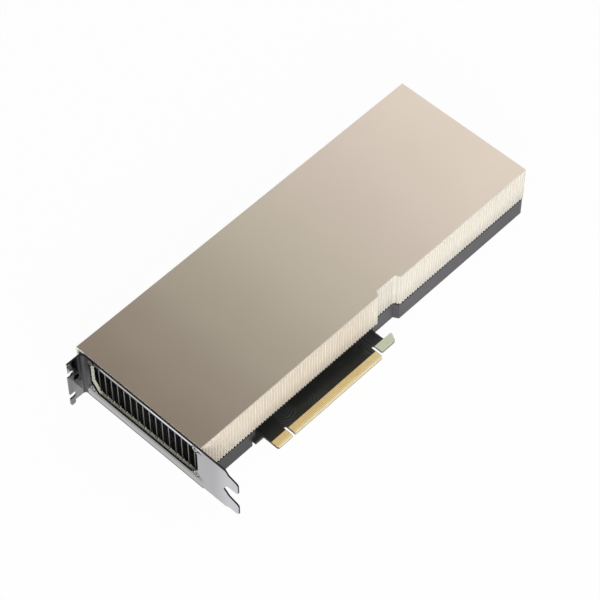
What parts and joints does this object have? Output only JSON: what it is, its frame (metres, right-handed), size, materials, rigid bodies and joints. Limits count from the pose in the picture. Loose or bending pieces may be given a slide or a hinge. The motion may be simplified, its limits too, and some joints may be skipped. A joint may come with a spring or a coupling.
{
  "type": "passive accelerator card",
  "caption": "Dual-slot plug-in accelerator card with a ribbed metal shroud open at both ends, a vented mounting bracket, an edge connector with a latch hook and a rear power socket.",
  "frame": {"origin": "middle of the card's bounding box, on the lowest point of the mounting bracket", "axes": "+X from the mounting bracket towards the far end, +Y from the edge contacts towards the bracket's ear, +Z from the backplate up to the shroud's roof"},
  "size_m": [0.2792, 0.1256, 0.0397],
  "materials": {
    "shroud_gold": "satin champagne coat",
    "base_grey": "matte dark grey coat",
    "grille_grey": "satin grey coat",
    "bracket_steel": "bright nickel plate",
    "board_green": "satin solder mask",
    "gold_contact": "polished gold plate",
    "substrate": "satin",
    "ring_metal": "satin nickel plate",
    "silicon": "mirror-like lapped back",
    "choke_grey": "sintered ferrite",
    "thermal_pad": "matte soft pad",
    "chip_black": "moulded epoxy",
    "capacitor_tan": "moulded epoxy",
    "copper_plate": "satin copper",
    "fin_aluminium": "mill",
    "socket_black": "moulded nylon",
    "pin_metal": "tin plate",
    "backplate_black": "matte black coat",
    "screw_steel": "zinc plate",
    "standoff_metal": "turned",
    "bracket_screw": "black zinc plate"
  },
  "bodies": {
    "root": {"shroud": "shroud_gold", "base_frame": "base_grey", "vent_grille": "grille_grey", "bracket": "bracket_steel", "board": "board_green", "contacts_top": "gold_contact", "contacts_under": "gold_contact", "package_substrate": "substrate", "package_ring": "ring_metal", "processor_die": "silicon", "memory_stacks": "silicon", "chokes": "choke_grey", "choke_pads": "thermal_pad", "power_stages": "chip_black", "capacitors": "capacitor_tan", "controller_chips": "chip_black", "heat_spreader": "copper_plate", "fin_stack": "fin_aluminium", "power_socket": "socket_black", "power_pins": "pin_metal", "backplate": "backplate_black", "sink_screws": "screw_steel", "sink_standoffs": "standoff_metal", "back_pad": "thermal_pad", "bracket_screws": "bracket_screw"}
  },
  "joints": []
}
